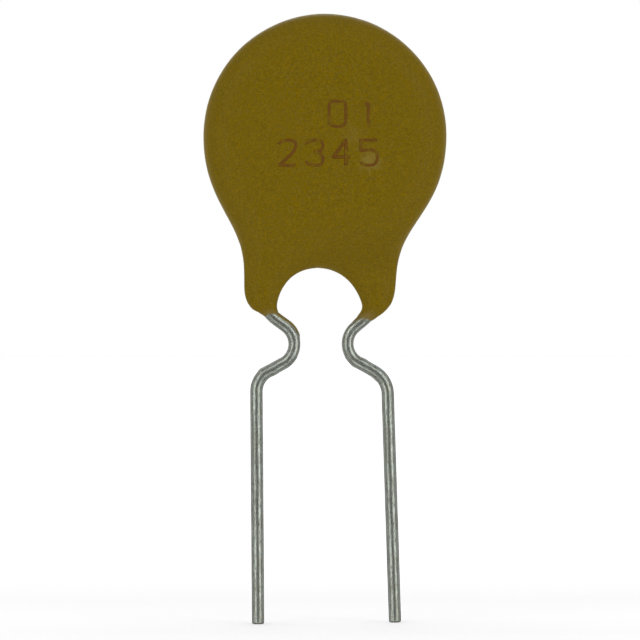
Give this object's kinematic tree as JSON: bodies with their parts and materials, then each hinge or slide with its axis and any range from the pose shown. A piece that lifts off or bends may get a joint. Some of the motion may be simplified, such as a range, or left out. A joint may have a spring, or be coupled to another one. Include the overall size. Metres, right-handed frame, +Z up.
{
  "type": "resettable fuse",
  "caption": "Radial-leaded resettable fuse: an epoxy-dipped disc with two horns, on a pair of kinked tinned leads for a circuit board.",
  "frame": {"origin": "on the circuit board's upper surface, midway between the two leads", "axes": "+Z up away from the board, -Y towards the marked face, +X to its right"},
  "size_m": [0.0094, 0.0024, 0.0237],
  "materials": {
    "epoxy_coat": "satin mustard epoxy, dipped and cured",
    "polymer": "carbon-filled polymer, matt black",
    "foil": "nickel foil",
    "tinned_wire": "tinned copper wire, drawn, slightly dull",
    "solder": "reflowed solder"
  },
  "bodies": {
    "root": {"coating": "epoxy_coat", "polymer_core": "polymer", "front_foil": "foil", "rear_foil": "foil", "left_lead": "tinned_wire", "right_lead": "tinned_wire", "front_solder": "solder", "rear_solder": "solder"}
  },
  "joints": []
}
